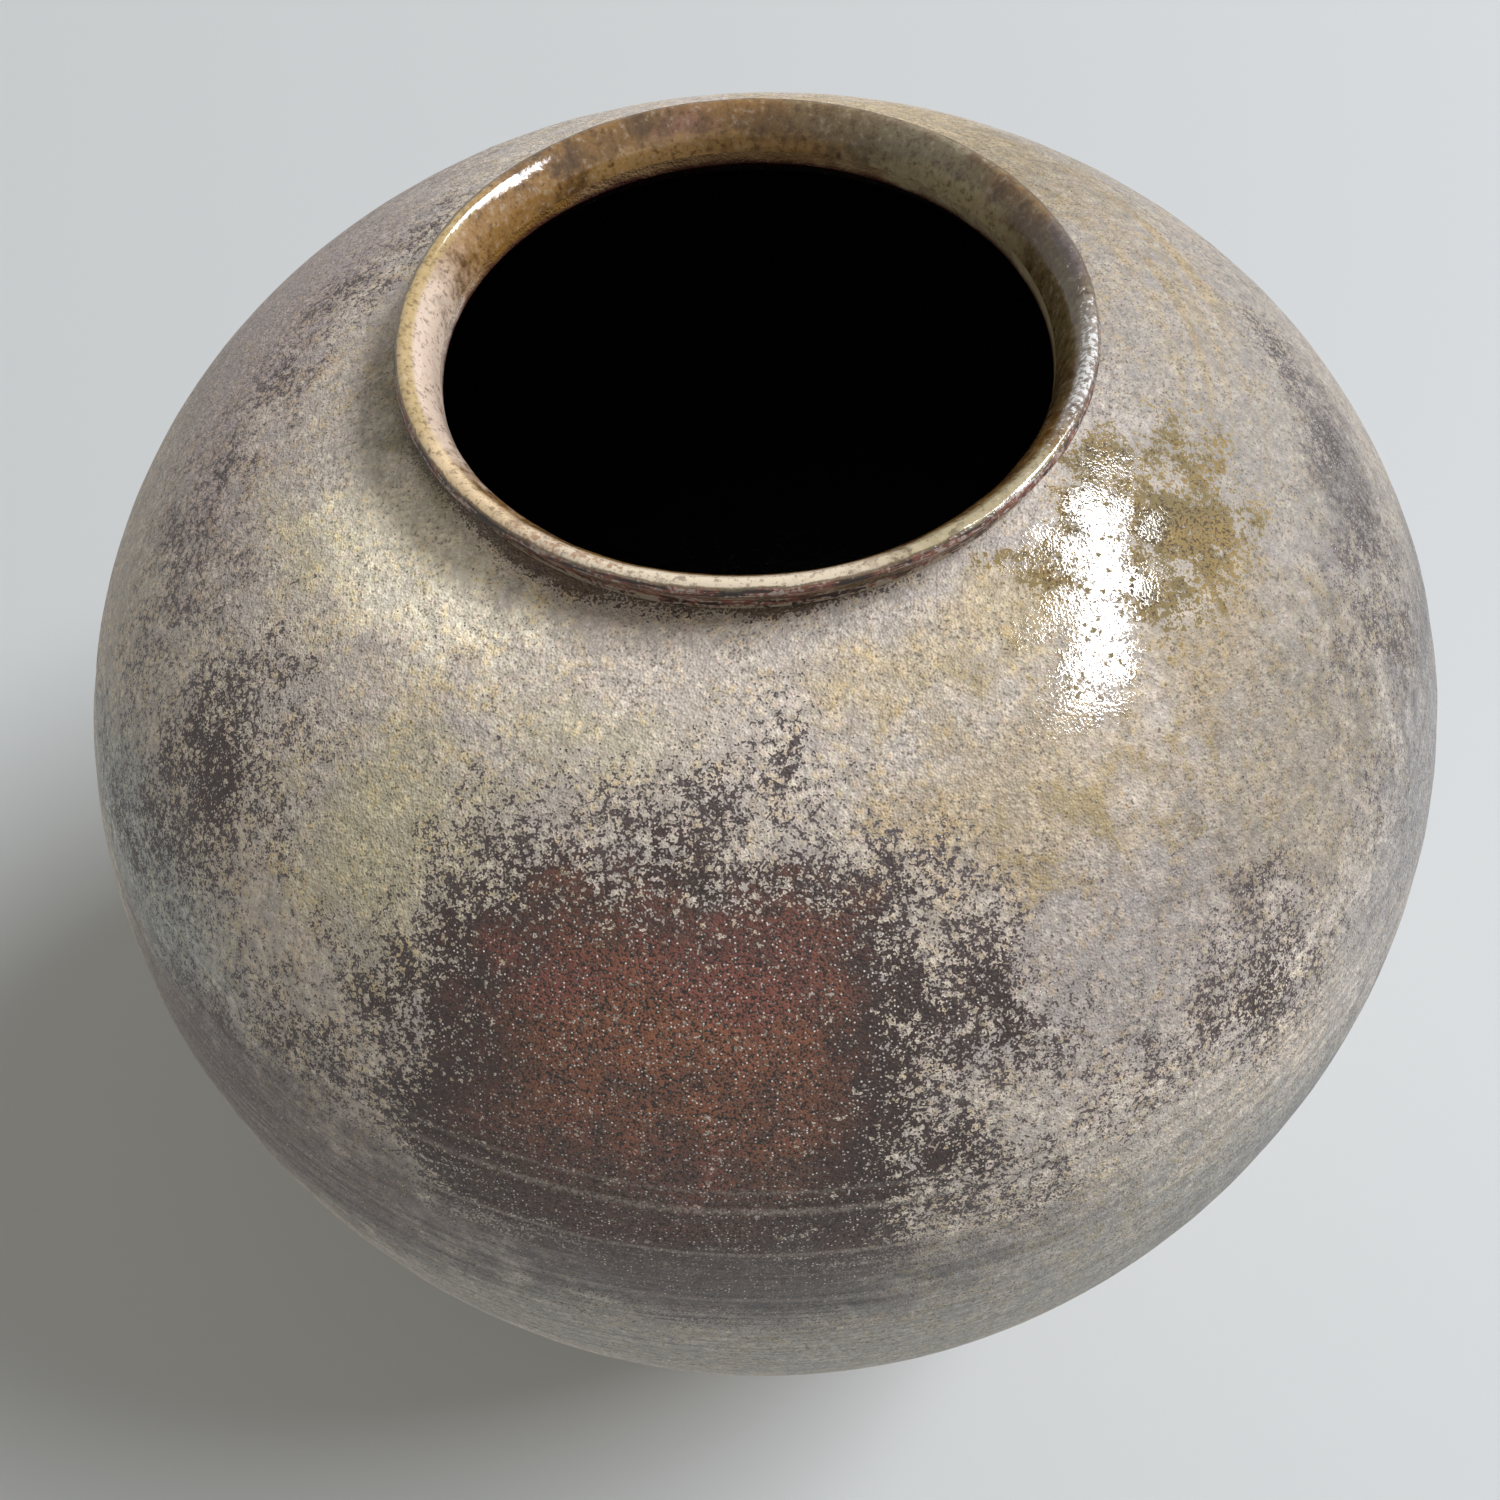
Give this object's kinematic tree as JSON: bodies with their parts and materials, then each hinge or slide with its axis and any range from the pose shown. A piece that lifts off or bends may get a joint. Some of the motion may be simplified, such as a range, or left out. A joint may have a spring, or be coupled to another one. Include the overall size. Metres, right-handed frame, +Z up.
{
  "type": "ikebana vase",
  "caption": "Globular stoneware flower vase with a low flared collar round a wide mouth, thrown in luted sections on a foot ring, with a matte ash glaze over red-brown clay.",
  "frame": {"origin": "centre of the foot ring's resting plane", "axes": "+Z up along the vase's turning axis, -Y towards the side seen at the front of the picture, +X to its right"},
  "size_m": [0.25, 0.25, 0.2309],
  "materials": {
    "foot_clay": "bare red-brown stoneware, unglazed",
    "bowl_glaze": "thin matte ash glaze over red-brown clay, speckled",
    "dome_glaze": "matte grey-beige ash glaze with bare, dark and melted glossy patches",
    "collar_glaze": "glossy amber glaze, darker on the outside"
  },
  "bodies": {
    "root": {"foot_ring": "foot_clay", "lower_bowl": "bowl_glaze", "upper_dome": "dome_glaze", "mouth_collar": "collar_glaze"}
  },
  "joints": []
}
